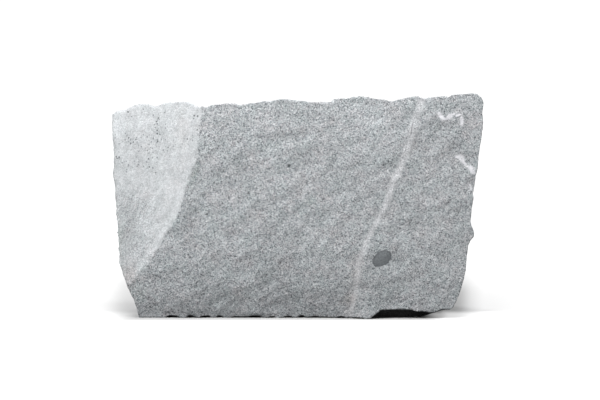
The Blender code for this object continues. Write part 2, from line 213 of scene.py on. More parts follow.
def rough(p, g):
    """The coarse relief of the break: low ridges rising to the right on the
    front, calmer in the scar, and deep scoops on the other sides."""
    kind = np.argmax(g, axis=1)
    w = leaning(p, 36.0, 1.45)
    front = 0.0056 * noise(w, 0.060, 71) + 0.0032 * noise(w, 0.033, 72)
    plain = 0.0060 * noise(p, 0.070, 71) + 0.0035 * noise(p, 0.036, 72)
    scoop = (scoops(p, 0.190, 0.22, 0.20, 0.010, 81)
             + 0.8 * scoops(p, 0.085, 0.16, 0.17, 0.004, 84))
    away = (step(0.0, 0.10, -g[:, FRONT]) * step(0.0, 0.08, -g[:, SCAR])
            * step(0.0, 0.07, p[:, 2] - GROUND))
    scoop = np.minimum(scoop, 0.0) * away
    low = step(0.0, 0.014, p[:, 2] - GROUND)
    h = np.where(kind == FRONT, front, np.where(kind == SCAR, 0.35 * plain,
                                                0.6 * plain + scoop))
    return h * np.where(kind == BOTTOM, step(0.008, 0.030, p[:, 2] - GROUND), low)


def unit(v):
    return v / np.maximum(np.linalg.norm(v, axis=-1, keepdims=True), 1e-12)


def scar_depth(x, z):
    c, r = SCAR_CENTRE, SCAR_RADIUS
    inside = np.clip(r * r - (x - c[0]) ** 2 - (z - c[2]) ** 2, 0.0, None)
    return np.clip(c[1] + np.sqrt(inside) - FRONT_Y, 0.0, None)


def front_y(x, z):
    p = np.stack([x, np.zeros_like(x), z], axis=1)
    y = FRONT_Y + 0.004 + 0.012 * (1.0 - z / 0.70)
    y = y + along(FOOT, x) * (np.clip(0.105 - z, 0.0, None) / 0.1085) ** 1.4
    y = y + 0.010 * noise(p, 0.34, 11) + 0.006 * noise(p, 0.17, 12)
    return np.maximum(y, FRONT_Y)


def back_y(x, z):
    p = np.stack([x, np.zeros_like(x), z], axis=1)
    y = BACK_Y - 0.004 - 0.030 * (x / 0.6) ** 2 - 0.020 * ((z - 0.33) / 0.4) ** 2
    y = y + 0.030 * noise(p, 0.30, 21) + 0.012 * noise(p, 0.13, 22)
    return np.minimum(y, BACK_Y)


def left_x(y, z):
    edge_y = FRONT_Y + scar_depth(along(LEFT_EDGE, z), z)
    flat = 0.018 + 0.055 * (1.0 - step(0.0, 0.12, z))
    near = np.exp(-np.clip(y - edge_y - flat, 0.0, None) / 0.060)
    p = np.stack([np.zeros_like(y), y, z], axis=1)
    run = along(LEFT_RUN, z) + 0.060 * np.clip(y + 0.05, 0.0, None)
    run = run + 0.022 * noise(p, 0.24, 31) + 0.010 * noise(p, 0.11, 32)
    return near * along(LEFT_EDGE, z) + (1.0 - near) * run


def right_x(y, z):
    near = np.exp(-np.clip(y - FRONT_Y - 0.022, 0.0, None) / 0.055)
    p = np.stack([np.zeros_like(y), y, z], axis=1)
    run = along(RIGHT_RUN, z) - 0.050 * np.clip(y + 0.10, 0.0, None)
    run = run + 0.022 * noise(p, 0.24, 41) + 0.010 * noise(p, 0.11, 42)
    return near * along(RIGHT_EDGE, z) + (1.0 - near) * run


def top_z(x, y):
    edge_y = FRONT_Y + scar_depth(x, along(TOP_EDGE, x))
    near = np.exp(-np.clip(y - edge_y - 0.015, 0.0, None) / 0.050)
    p = np.stack([x, y, np.zeros_like(x)], axis=1)
    run = along(TOP_RUN, x) - 0.030 * np.clip(y, 0.0, None)
    run = run + 0.026 * noise(p, 0.26, 51) + 0.012 * noise(p, 0.12, 52)
    return near * along(TOP_EDGE, x) + (1.0 - near) * run


def recess_s(x, y):
    """Distance from the recess's inner edge, greater than 0 inside the recess."""
    d = y - FRONT_Y
    best = np.full(len(x), 9.0)
    for (a0, b0), (a1, b1) in zip(RECESS_EDGE[:-1], RECESS_EDGE[1:]):
        da, db = a1 - a0, b1 - b0
        f = np.clip(((x - a0) * da + (d - b0) * db) / (da * da + db * db), 0.0, 1.0)
        best = np.minimum(best, np.hypot(x - a0 - f * da, d - b0 - f * db))
    inside = (x > RECESS_EDGE[0][0]) & (d < along(RECESS_EDGE, x))
    return np.where(inside, best, -best)


def recess_rise(x, y):
    """Height of the stone over the ground in the recess, 0 outside it."""
    p = np.stack([x, y, np.zeros_like(x)], axis=1)
    s = recess_s(x, y)
    near = np.exp(-np.clip(y - FRONT_Y - 0.02, 0.0, None) / 0.06)
    high = near * (along(RECESS_LIP, x) - GROUND) + (1.0 - near) * 0.034
    high = high + 0.008 * noise(p, 0.10, 62) * step(0.02, 0.08, s)
    return along(RECESS_WALL, s) * np.clip(high, 0.0, None)


def bottom_z(x, y):
    """The underside: flat where it meets the ground, raised over the recess and
    in the small gaps under the front edge."""
    behind = y - FRONT_Y - 0.012 - np.clip(along(FOOT, x), 0.0, None)
    nick = np.zeros_like(x)
    for x0, x1, high in NICKS:
        a = 0.006 + 0.12 * (x1 - x0)
        nick = np.maximum(nick, high * step(x0, x0 + a, x) * (1.0 - step(x1 - a, x1, x)))
    nick = nick * (1.0 - step(0.020, 0.034, behind))
    return GROUND + np.maximum(recess_rise(x, y), nick)


class Sheet:
    """A surface kept as a fine grid of heights, read back between its points."""

    def __init__(self, rule, lo, hi, h=0.003):
        self.lo = np.array(lo)
        n = np.ceil((np.array(hi) - self.lo) / h).astype(int) + 1
        a = self.lo[0] + h * np.arange(n[0])
        b = self.lo[1] + h * np.arange(n[1])
        ga, gb = np.meshgrid(a, b, indexing="ij")
        self.v = rule(ga.ravel(), gb.ravel()).reshape(n)
        self.h, self.n = h, n

    def __call__(self, a, b):
        u = np.clip((a - self.lo[0]) / self.h, 0.0, self.n[0] - 1.001)
        w = np.clip((b - self.lo[1]) / self.h, 0.0, self.n[1] - 1.001)
        i, j = u.astype(np.int64), w.astype(np.int64)
        u, w = u - i, w - j
        v = self.v
        return ((1 - u) * ((1 - w) * v[i, j] + w * v[i, j + 1])
                + u * ((1 - w) * v[i + 1, j] + w * v[i + 1, j + 1]))


X0, Y0, Z0 = HULL_MIN - 0.02
X1, Y1, Z1 = HULL_MAX + 0.02
FRONT_SHEET = Sheet(front_y, (X0, Z0), (X1, Z1))
BACK_SHEET = Sheet(back_y, (X0, Z0), (X1, Z1))
LEFT_SHEET = Sheet(left_x, (Y0, Z0), (Y1, Z1))
RIGHT_SHEET = Sheet(right_x, (Y0, Z0), (Y1, Z1))
TOP_SHEET = Sheet(top_z, (X0, Y0), (X1, Y1))
BOTTOM_SHEET = Sheet(bottom_z, (X0, Y0), (X1, Y1))


def bounds_at(p):
    """One column for each surface: greater than 0 where a point is outside it."""
    x, y, z = p[:, 0], p[:, 1], p[:, 2]
    g = [FRONT_SHEET(x, z) - y, y - BACK_SHEET(x, z), LEFT_SHEET(y, z) - x,
         x - RIGHT_SHEET(y, z), z - TOP_SHEET(x, y), BOTTOM_SHEET(x, y) - z,
         SCAR_RADIUS - np.linalg.norm(p - SCAR_CENTRE, axis=1)]
    for point, normal in BREAKS:
        n = np.array(normal) / np.linalg.norm(normal)
        g.append((p - np.array(point)) @ n)
    for centre, radius in HOLLOWS:
        g.append(radius - np.linalg.norm(p - np.array(centre), axis=1))
    return np.stack(g, axis=1)


def snap_to_arrises(p, reach):
    """Moves each point that is nearly on a second surface onto both. Also gives
    which points those are, their two surfaces and those surfaces' normals."""
    g = bounds_at(p)
    order = np.argsort(-g, axis=1)
    pick = np.nonzero(g[np.arange(len(p)), order[:, 1]] > -reach)[0]
    a, b = order[pick, 0], order[pick, 1]
    q, row = p[pick], np.arange(len(pick))
    h = 1e-4
    for _ in range(3):
        g0 = bounds_at(q)
        slope = np.stack([(bounds_at(q + h * np.eye(3)[k]) - g0) / h
                          for k in range(3)], axis=2)
        ga, gb = g0[row, a], g0[row, b]
        na, nb = slope[row, a], slope[row, b]
        aa, bb = (na * na).sum(1), (nb * nb).sum(1)
        ab = (na * nb).sum(1)
        det = aa * bb - ab * ab
        good = det > 0.08 * aa * bb
        det = np.where(good, det, 1.0)
        ka = -(bb * ga - ab * gb) / det
        kb = -(aa * gb - ab * ga) / det
        move = ka[:, None] * na + kb[:, None] * nb
        length = np.linalg.norm(move, axis=1)
        move *= np.minimum(1.0, 0.8 * reach / np.maximum(length, 1e-9))[:, None]
        q = q + move * good[:, None]
    far = np.linalg.norm(q - p[pick], axis=1) > 1.2 * reach
    q[far] = p[pick][far]
    out = p.copy()
    out[pick] = q
    keep = good & ~far
    return out, pick[keep], a[keep], b[keep], unit(na[keep]), unit(nb[keep])


def hull_grid(spacing):
    """Points on the outer box, and the quads between them."""
    size = HULL_MAX - HULL_MIN
    lines = []
    for k in range(3):
        if k == 1:        # closer together towards the front, which is seen most
            t = np.linspace(0.0, 1.0, int(round(size[1] / (1.45 * spacing))) + 1)
            t = 0.62 * t + 0.38 * t * t
        else:
            t = np.linspace(0.0, 1.0, int(round(size[k] / spacing)) + 1)
        lines.append(HULL_MIN[k] + t * size[k])
    count = [len(a) for a in lines]

    quads = []
    for axis, side in ((0, 0), (0, 1), (1, 0), (1, 1), (2, 0), (2, 1)):
        ra, rb = [k for k in range(3) if k != axis]
        a, b = np.meshgrid(np.arange(count[ra] - 1), np.arange(count[rb] - 1),
                           indexing="ij")
        a, b = a.ravel(), b.ravel()
        corner = []
        for da, db in ((0, 0), (1, 0), (1, 1), (0, 1)):
            c = [None, None, None]
            c[axis] = np.full_like(a, (0, count[axis] - 1)[side])
            c[ra], c[rb] = a + da, b + db
            corner.append((c[0] * count[1] + c[1]) * count[2] + c[2])
        flip = (side == 0) != (axis == 1)
        quads.append(np.stack(corner[::-1] if flip else corner, axis=1))
    quads = np.concatenate(quads)
    used, inverse = np.unique(quads, return_inverse=True)
    i, rest = np.divmod(used, count[1] * count[2])
    j, k = np.divmod(rest, count[2])
    points = np.stack([lines[0][i], lines[1][j], lines[2][k]], axis=1)
    return points, inverse.reshape(quads.shape)


def knock_off(start, d, t, centre, frame3, radii):
    """Takes one flake, an ellipsoid, off every line that runs into it."""
    near = np.nonzero(np.linalg.norm(start + d * t[:, None] - centre, axis=1)
                      < 1.05 * max(radii))[0]
    m = frame3 / np.array(radii)[:, None]
    x = (start[near] - centre) @ m.T
    e = d[near] @ m.T
    a, b, c = (e * e).sum(1), (x * e).sum(1), (x * x).sum(1) - 1.0
    disc = b * b - a * c
    ok = disc > 0.0
    enter = np.where(ok, (-b - np.sqrt(np.where(ok, disc, 0.0))) / a, 9.0)
    ok &= (enter > 0.02) & (enter < t[near])
    t[near[ok]] = enter[ok]


# What breaks off each kind of arris: (the two surfaces, metres between flakes,
# bite, radius, how far the bite leans to the first surface).
FLAKES = [
    ((FRONT, TOP), 0.030, (0.0006, 0.0034), (0.016, 0.050), 0.80),
    ((FRONT, RIGHT), 0.034, (0.0003, 0.0009), (0.014, 0.036), 0.70),
    ((FRONT, BOTTOM), 0.045, (0.0008, 0.0030), (0.018, 0.050), 0.78),
    ((FRONT, SCAR), 0.050, (0.0004, 0.0018), (0.020, 0.050), 0.50),
    ((SCAR, TOP), 0.035, (0.0010, 0.0045), (0.020, 0.050), 0.70),
    ((SCAR, LEFT), 0.040, (0.0010, 0.0040), (0.020, 0.050), 0.70),
]


def stone_points(q):
    """The finished surface for points of the outer box."""
    core = np.clip(q, CORE_MIN, CORE_MAX)
    ray = q - core
    lo, hi = np.zeros(len(q)), np.ones(len(q))
    for _ in range(20):
        mid = 0.5 * (lo + hi)
        out = bounds_at(core + ray * mid[:, None]).max(axis=1) > 0.0
        hi = np.where(out, mid, hi)
        lo = np.where(out, lo, mid)
    length = np.linalg.norm(ray, axis=1)
    d = ray / length[:, None]
    t = lo * length
    p, arris, sa, sb, na, nb = snap_to_arrises(core + d * t[:, None], 0.5 * SPACING)
    start = p - d * t[:, None]

    # Flakes knocked off the arrises. Points move only along their own lines.
    rng = np.random.default_rng(4260)
    todo = []
    hidden = (sa != FRONT) & (sb != FRONT) & (sa != BOTTOM) & (sb != BOTTOM)
    at = p[arris]
    behind = at[:, 1] - FRONT_Y - scar_depth(at[:, 0], at[:, 2])
    hidden &= behind > 0.11
    for (a, b), apart, bite, radius, lean in FLAKES:
        on = ((sa == a) & (sb == b)) | ((sa == b) & (sb == a))
        hidden &= ~on
        sel = np.nonzero(on)[0]
        for k in rng.permutation(sel)[:int(len(sel) * SPACING / apart)]:
            first, second = (na[k], nb[k]) if sa[k] == a else (nb[k], na[k])
            todo.append((arris[k], first, second, bite, radius, lean, 9.0))
    sel = np.nonzero(hidden)[0]
    for k in rng.permutation(sel)[:int(len(sel) * SPACING / 0.035)]:
        todo.append((arris[k], na[k], nb[k], (0.003, 0.026), (0.030, 0.140),
                     rng.uniform(0.2, 0.8), behind[k]))
    for index, first, second, bite, radius, lean, room in todo:
        bite = bite[0] + (bite[1] - bite[0]) * rng.random() ** 1.8
        radius = radius[0] + (radius[1] - radius[0]) * rng.random() ** 1.3
        radius = min(radius, (room - 0.05) / 1.9)      # keeps clear of the front
        bite = min(bite, 0.25 * radius)
        side = unit(np.cross(first, second))            # along the arris
        out = lean * first + (1.0 - lean) * second + 0.12 * rng.standard_normal(3)
        out = unit(out - 0.9 * (out @ side) * side)
        side = unit(side - out * (side @ out))
        frame3 = np.stack([side, np.cross(out, side), out])
        radii = (radius * rng.uniform(1.0, 1.9), radius * rng.uniform(0.8, 1.3), radius)
        knock_off(start, d, t, p[index] + out * (radius - bite), frame3, radii)
    p = start + d * t[:, None]

    # The coarse relief, then the broken grain of each kind of surface.
    g = bounds_at(p)
    kind = np.argmax(g, axis=1)
    second = np.sort(g, axis=1)[:, -2]
    scar = kind == SCAR
    hidden = ~(scar | (kind == FRONT))
    h = rough(p, g)

    # front: fine ridges that rise to the right
    w = leaning(p, 38.0, 1.7)
    fine = 0.0017 * noise(w, 0.019, 73) + 0.0011 * noise(w, 0.0105, 74)
    fine += 0.0016 * np.abs(noise(w, 0.030, 75)) - 0.0004
    # scar: drawn out along the run of the break, rougher low on the left
    w = leaning(p, 62.0, 3.2)
    lower = step(-0.42, -0.53, p[:, 0]) * step(0.50, 0.40, p[:, 2])
    drawn = (0.0020 + 0.0070 * lower) * noise(w, 0.026, 76)
    drawn += (0.0010 + 0.0022 * lower) * noise(w, 0.012, 77) + 0.0009 * noise(p, 0.012, 78)
    # everything else: small scoops with sharp ridges, then grained
    rugged = scoops(p, 0.042, 0.12, 0.17, 0.0020, 89)
    rugged -= np.mean(rugged[hidden])
    coarse = 0.0024 * noise(p, 0.020, 87) + 0.0016 * noise(p, 0.0105, 88)
    away = step(0.0, 0.030, -second)
    grain = np.where(scar, drawn, np.where(hidden, coarse + rugged * away, fine))
    high = p[:, 2] - GROUND
    grain *= np.where(kind == BOTTOM, step(0.008, 0.030, high), step(0.0, 0.014, high))
    p = p + d * (h + grain)[:, None]

    # Right of the middle, the front's top edge stands up over a dip behind it.
    x, y, z = p.T.copy()
    edge = np.exp(-((x - 0.109) / 0.0165) ** 2) * step(-0.235, -0.280, y)
    dip = np.exp(-((x - 0.105) / 0.034) ** 2) * step(-0.280, -0.215, y) * step(-0.08, -0.15, y)
    p[:, 2] += (0.0056 * edge - 0.0085 * dip) * step(0.655, 0.695, z)
    p[:, 2] = np.maximum(p[:, 2], GROUND)
    return p


def add_mesh(name, points, faces):
    me = bpy.data.meshes.new(name)
    me.vertices.add(len(points))
    me.vertices.foreach_set("co", np.ascontiguousarray(points, np.float32).ravel())
    me.loops.add(faces.size)
    me.loops.foreach_set("vertex_index", faces.astype(np.int32).ravel())
    me.polygons.add(len(faces))
    me.polygons.foreach_set("loop_start", np.arange(0, faces.size, faces.shape[1],
                                                    dtype=np.int32))
    me.update(calc_edges=True)
    me.validate()
    ob = bpy.data.objects.new(name, me)
    bpy.context.scene.collection.objects.link(ob)
    return ob


def vertex_array(me):
    co = np.empty(len(me.vertices) * 3, np.float32)
    me.vertices.foreach_get("co", co)
    return co.reshape(-1, 3).astype(float)


def thin_out(ob, points, target):
    """Thins the hidden sides with Decimate and leaves the front as it is."""
    p = points - SHIFT
    seen = step(-0.240, -0.285, p[:, 1])
    depth = scar_depth(p[:, 0], p[:, 2])
    on_scar = (depth > 0.002) & (np.abs(p[:, 1] - FRONT_Y - depth) < 0.030)
    seen = np.maximum(seen, on_scar * 1.0)
    group = ob.vertex_groups.new(name="thin")
    weight = np.round(1.0 - seen, 1)
    for w in np.unique(weight):
        group.add(np.nonzero(weight == w)[0].tolist(), float(w), "REPLACE")
    faces = sum(len(f.vertices) - 2 for f in ob.data.polygons)
    m = ob.modifiers.new("thin", "DECIMATE")
    m.decimate_type = "COLLAPSE"
    m.ratio = min(1.0, target / faces)
    m.vertex_group = "thin"
    m.vertex_group_factor = 0.25
    dg = bpy.context.evaluated_depsgraph_get()
    me = bpy.data.meshes.new_from_object(ob.evaluated_get(dg), depsgraph=dg)
    ob.modifiers.clear()
    old = ob.data
    ob.data = me
    bpy.data.meshes.remove(old)
    ob.vertex_groups.clear()
    return faces


grid, quads = hull_grid(SPACING)
points = stone_points(grid) + SHIFT
stone = add_mesh("granite_block_surface", points, quads)
before = thin_out(stone, points, TRIANGLES)
stone.data.shade_smooth()
print("stone: working grid", before, "triangles, kept",
      sum(len(f.vertices) - 2 for f in stone.data.polygons))

# ---------------------------------------------- what runs through the stone
VEIN = [(-0.20, 0.130), (0.0065, 0.1647), (0.0292, 0.1686), (0.0746, 0.1829),
        (0.1427, 0.1905), (0.1881, 0.1965), (0.2335, 0.2150), (0.2789, 0.2352),
        (0.3113, 0.2530), (0.3697, 0.2845), (0.3956, 0.2915), (0.4410, 0.3070),
        (0.4800, 0.3258), (0.5254, 0.3435), (0.5675, 0.3605), (0.6100, 0.3705),
        (0.6486, 0.3775), (0.6810, 0.3925), (0.7135, 0.4020), (0.90, 0.450)]
# How wide and how strong the vein is, up the front.
VEIN_WIDTH = [(0.0, 1.0), (0.33, 1.05), (0.50, 1.20), (0.56, 1.35), (0.62, 1.45),
              (0.72, 1.35)]
VEIN_STRENGTH = [(0.0, 0.66), (0.08, 0.80), (0.20, 0.84), (0.26, 1.05), (0.33, 1.25),
                 (0.54, 1.30), (0.585, 0.90), (0.605, 0.62), (0.630, 0.70),
                 (0.655, 0.95), (0.72, 1.00)]
EYE = np.array([0.0065, -3.900, 0.3827])   # where the front marks are squared up from


def faced(p):
    """Where a point shows on the front plane, seen squarely from well in front."""
    k = (FRONT_Y - EYE[1]) / (p[:, 1] - EYE[1])
    return EYE[0] + (p[:, 0] - EYE[0]) * k, EYE[2] + (p[:, 2] - EYE[2]) * k


def to_path(u, w, path):
    """Distance to a line through the given points."""
    best = np.full(len(u), 9.0)
    for (a0, b0), (a1, b1) in zip(path[:-1], path[1:]):
        da, db = a1 - a0, b1 - b0
        f = np.clip(((u - a0) * da + (w - b0) * db) / (da * da + db * db), 0.0, 1.0)
        best = np.minimum(best, np.hypot(u - a0 - f * da, w - b0 - f * db))
    return best


def keep_field(me, name, values):
    a = me.attributes.new(name, "FLOAT", "POINT")
    a.data.foreach_set("value", np.ascontiguousarray(values, np.float32))


def blobs(u, w, places):
    """Soft oval patches: (across, up, half width, half height, turn, amount)."""
    total = np.zeros(len(u))
    for x, z, rx, rz, turn, amount in places:
        c, s = math.cos(math.radians(turn)), math.sin(math.radians(turn))
        a = ((u - x) * c + (w - z) * s) / rx
        b = (-(u - x) * s + (w - z) * c) / rz
        total += amount * np.exp(-(a * a + b * b))
    return total


# Broad light and dark areas of the front and the scar: partly the stone's own tone, partly
# painted shade and painted light where the face turns away from or towards the lamps.
SHADES = [
    (-0.575, 0.300, 0.050, 0.130, 6.0, -0.19), (-0.556, 0.270, 0.016, 0.120, -24.0, -0.10),
    (-0.533, 0.330, 0.010, 0.100, -28.0, -0.06), (-0.520, 0.200, 0.012, 0.060, -30.0, 0.05),
    (-0.548, 0.118, 0.034, 0.050, 0.0, -0.17), (-0.500, 0.470, 0.110, 0.110, 0.0, -0.035),
    (-0.490, 0.300, 0.060, 0.120, -20.0, -0.07), (-0.510, 0.230, 0.030, 0.080, -20.0, -0.05),
    (-0.455, 0.610, 0.022, 0.050, 0.0, -0.06), (-0.551, 0.580, 0.032, 0.020, 0.0, -0.06),
    (-0.590, 0.640, 0.030, 0.030, 0.0, 0.08), (-0.600, 0.520, 0.020, 0.050, 0.0, -0.05),
    (-0.480, 0.645, 0.034, 0.030, 0.0, 0.10), (-0.430, 0.630, 0.120, 0.050, 0.0, 0.030),
    (-0.588, 0.620, 0.020, 0.030, 0.0, 0.06), (-0.556, 0.390, 0.028, 0.045, -20.0, -0.09), (-0.530, 0.270, 0.018, 0.030, 0.0, -0.035),
    (-0.480, 0.082, 0.060, 0.024, 0.0, 0.10), (-0.528, 0.085, 0.013, 0.050, 28.0, 0.07),
    (-0.376, 0.650, 0.040, 0.045, 0.0, 0.05), (-0.420, 0.300, 0.016, 0.170, -28.0, 0.03),
    (-0.334, 0.470, 0.010, 0.048, -20.0, -0.12), (-0.512, 0.080, 0.026, 0.034, 0.0, 0.04),
    (0.236, 0.655, 0.065, 0.035, 0.0, 0.07), (0.480, 0.580, 0.070, 0.070, 0.0, -0.02),
    (-0.060, 0.130, 0.280, 0.060, 0.0, -0.05), (-0.188, 0.486, 0.042, 0.024, 20.0, -0.17),
    (0.045, 0.380, 0.060, 0.010, 32.0, -0.10), (-0.025, 0.288, 0.030, 0.010, 40.0, -0.07),
    (0.470, 0.235, 0.045, 0.020, 25.0, -0.07), (0.110, 0.230, 0.050, 0.030, 30.0, 0.04),
    (-0.300, 0.250, 0.040, 0.030, 0.0, -0.05), (0.060, 0.640, 0.060, 0.020, 10.0, 0.04),
    (-0.020, 0.400, 0.300, 0.180, 0.0, -0.03), (-0.200, 0.180, 0.060, 0.020, 25.0, 0.05),
    (0.420, 0.420, 0.030, 0.060, -20.0, 0.04), (-0.080, 0.560, 0.050, 0.020, 20.0, -0.04),
    (-0.100, 0.430, 0.055, 0.032, 10.0, -0.07), (-0.352, 0.330, 0.018, 0.055, -25.0, -0.08),
    (-0.010, 0.166, 0.330, 0.042, 0.0, -0.080), (0.235, 0.110, 0.070, 0.055, 0.0, -0.05),
    (-0.140, 0.030, 0.190, 0.018, 0.0, 0.09), (0.575, 0.670, 0.028, 0.030, 0.0, 0.13),
    (0.545, 0.532, 0.040, 0.024, 0.0, -0.10), (0.365, 0.575, 0.055, 0.025, 0.0, 0.04),
    (0.050, 0.620, 0.050, 0.028, 0.0, -0.05), (0.245, 0.620, 0.055, 0.026, 0.0, 0.05),
    (-0.128, 0.665, 0.030, 0.020, 0.0, 0.05), (-0.352, 0.386, 0.012, 0.030, -20.0, -0.12),
    (-0.350, 0.275, 0.020, 0.040, -25.0, -0.12), (-0.322, 0.118, 0.040, 0.022, 0.0, -0.11),
    (-0.185, 0.486, 0.026, 0.022, 20.0, -0.10), (0.516, 0.532, 0.026, 0.022, 0.0, -0.10),
    (0.282, 0.486, 0.030, 0.026, 20.0, 0.10), (0.165, 0.214, 0.026, 0.024, 0.0, -0.13),
    (0.225, 0.102, 0.070, 0.026, 0.0, -0.09), (-0.272, 0.034, 0.040, 0.022, 0.0, 0.10),
    (-0.126, 0.034, 0.024, 0.022, 0.0, 0.12), (-0.496, 0.150, 0.022, 0.026, 0.0, 0.11),
    (-0.525, 0.112, 0.020, 0.022, 0.0, 0.09), (-0.584, 0.600, 0.014, 0.030, 0.0, 0.08),
    (0.467, 0.206, 0.018, 0.010, 30.0, -0.17), (0.490, 0.097, 0.009, 0.007, 0.0, -0.30),
]
# Places with a warm or a green cast.
WARM = [(-0.552, 0.135, 0.030, 0.045, 0.0, 1.0), (0.165, 0.062, 0.020, 0.016, 0.0, 1.3),
        (-0.376, 0.610, 0.018, 0.060, 0.0, 0.5), (0.175, 0.100, 0.020, 0.120, -10.0, 0.6)]
GREEN = [(-0.334, 0.470, 0.010, 0.045, -20.0, 1.0), (-0.512, 0.080, 0.022, 0.030, 0.0, 0.8),
         (0.042, 0.376, 0.020, 0.010, 32.0, 1.0), (-0.575, 0.270, 0.014, 0.050, 0.0, 0.7)]
# Clusters of dark specks, and single dark spots as (across, up, radius).
CLUSTERS = [(-0.458, 0.610, 0.020, 0.055, 0.0, 1.2), (-0.553, 0.580, 0.040, 0.018, 0.0, 1.2),
            (-0.520, 0.515, 0.060, 0.034, 20.0, 0.7), (-0.585, 0.520, 0.012, 0.012, 0.0, 1.1),
            (-0.400, 0.570, 0.050, 0.030, 0.0, 0.4)]
SPOTS = [(-0.3364, 0.6559, 0.0026), (-0.3378, 0.6464, 0.0019), (-0.3256, 0.6545, 0.0027),
         (-0.3269, 0.6100, 0.0022), (-0.3594, 0.5802, 0.0024), (-0.3189, 0.5438, 0.0018),
         (-0.4529, 0.6486, 0.0022), (-0.4586, 0.6370, 0.0025), (-0.4650, 0.6260, 0.0016),
         (-0.4567, 0.6081, 0.0022), (-0.4567, 0.5978, 0.0025), (-0.4473, 0.5951, 0.0019),
         (-0.4549, 0.5729, 0.0026), (-0.4689, 0.5837, 0.0017), (-0.4430, 0.5800, 0.0016),
         (-0.5608, 0.5776, 0.0018), (-0.5486, 0.5857, 0.0020), (-0.5420, 0.5800, 0.0016),
         (-0.5256, 0.5789, 0.0020), (-0.5338, 0.5708, 0.0022), (-0.5432, 0.5667, 0.0017),
         (-0.5081, 0.5559, 0.0018), (-0.4891, 0.5438, 0.0017), (-0.4728, 0.5505, 0.0016),
         (-0.4216, 0.5532, 0.0019), (-0.4243, 0.5424, 0.0017), (-0.4851, 0.5167, 0.0019),
         (-0.5216, 0.4924, 0.0018), (-0.5013, 0.4924, 0.0015), (-0.4824, 0.4897, 0.0024),
         (-0.4621, 0.4708, 0.0018), (-0.5703, 0.5032, 0.0019), (-0.5892, 0.5235, 0.0022),
         (-0.5797, 0.5208, 0.0021), (-0.5859, 0.5167, 0.0018), (-0.5513, 0.6680, 0.0024),
         (-0.5392, 0.6531, 0.0017), (-0.5013, 0.6768, 0.0015), (-0.4323, 0.6667, 0.0017),
         (-0.0292, 0.4939, 0.0046)]


def on_scar_at(u, w):
    """The place on the scar, or on the front face, that shows at (u, w)."""
    x, y, z = u, FRONT_Y, w
    for _ in range(20):
        k = (y - EYE[1]) / (FRONT_Y - EYE[1])
        x, z = EYE[0] + (u - EYE[0]) * k, EYE[2] + (w - EYE[2]) * k
        y = max(FRONT_Y + float(scar_depth(x, z)),
                float(FRONT_SHEET(np.array([x]), np.array([z]))[0]))
    return x, y, z


me = stone.data
p = vertex_array(me) - SHIFT
u, w = faced(p)
# depth behind the front face or the scar
skin = np.clip(p[:, 1] - FRONT_Y - scar_depth(p[:, 0], p[:, 2]) - 0.020, 0.0, None)
near = np.exp(-(skin / 0.030) ** 2)
pale = SCAR_RADIUS - np.linalg.norm(p - SCAR_CENTRE, axis=1)
rim = math.sqrt(SCAR_RADIUS ** 2 - (FRONT_Y - SCAR_CENTRE[1]) ** 2)
rim -= np.hypot(u - SCAR_CENTRE[0], w - SCAR_CENTRE[2])
# the bruise reaches a little way round the scar's outer arrises, partly as painted light on the
# shaded rims beyond them
outer = np.maximum(step(-0.49, -0.55, p[:, 0]) * step(0.13, 0.20, p[:, 2]),
                   step(0.655, 0.680, p[:, 2]))
keep_field(me, "scar", np.minimum(pale + 0.009 * outer,
                                  0.6 * (rim - 0.019 * step(0.49, 0.58, w))))
run = along(VEIN, p[:, 2]) + 0.30 * (p[:, 1] - FRONT_Y)
keep_field(me, "vein", (p[:, 0] - run + 0.004 * noise(p, 0.05, 91)) * 0.93
           / along(VEIN_WIDTH, p[:, 2]))
keep_field(me, "vein_strength", along(VEIN_STRENGTH, p[:, 2]))
c, s = math.cos(math.radians(35.0)), math.sin(math.radians(35.0))
du, dw = u - 0.2724, w - 0.1930
a, b = (du * c + dw * s) / 0.0345, (-du * s + dw * c) / 0.0225
keep_field(me, "enclave", np.hypot(a, b) + skin * 20.0)
marks = np.full(len(p), 9.0)
for path, half in (
        ([(0.4585, 0.6622), (0.4612, 0.6560), (0.4700, 0.6480)], 0.0048),
        ([(0.4720, 0.6470), (0.4800, 0.6440), (0.4860, 0.6480)], 0.0026),
        ([(0.4870, 0.6500), (0.4935, 0.6560)], 0.0056),
        ([(0.4950, 0.6590), (0.5075, 0.6616)], 0.0026),
        ([(0.5120, 0.6560), (0.5300, 0.6600)], 0.0016),
        ([(0.5303, 0.6490), (0.5310, 0.6280)], 0.0040),
        ([(0.5150, 0.5235), (0.5340, 0.5225), (0.5350, 0.5080), (0.5250, 0.5170)], 0.0036),
        ([(0.5370, 0.5050), (0.5440, 0.4960), (0.5530, 0.4900)], 0.0022),
        ([(0.5590, 0.4880), (0.5690, 0.4740)], 0.0058),
        ([(0.5560, 0.4350), (0.5640, 0.4180)], 0.0010)):
    marks = np.minimum(marks, to_path(u, w, path) - 1.15 * half)
keep_field(me, "marks", marks + 0.6 * skin)
keep_field(me, "shade", blobs(u, w, SHADES) * near)
keep_field(me, "warm", blobs(u, w, WARM) * near)
keep_field(me, "green", blobs(u, w, GREEN) * near)
keep_field(me, "clusters", blobs(u, w, CLUSTERS) * near)
keep_field(me, "torn", step(-0.42, -0.51, u) * step(0.44, 0.37, w) * near)


def convexity(me, p):
    """How much each place stands out from what is around it, about -1..1."""
    n = len(p)
    edges = np.empty(len(me.edges) * 2, np.int32)
    me.edges.foreach_get("vertices", edges)
    a, b = edges.reshape(-1, 2).T
    count = np.bincount(a, minlength=n) + np.bincount(b, minlength=n)

    def mean(v):
        return (np.bincount(a, v[b], n) + np.bincount(b, v[a], n)) / count

    q = p.copy()
    for _ in range(4):
        q = np.stack([mean(q[:, k]) for k in range(3)], axis=1)
    normal = np.empty(n * 3, np.float32)
    me.vertex_normals.foreach_get("vector", normal)
    out = ((p - q) * normal.reshape(-1, 3)).sum(axis=1)
    out = mean(out)
    return np.clip(out / 0.0025, -1.5, 1.5)
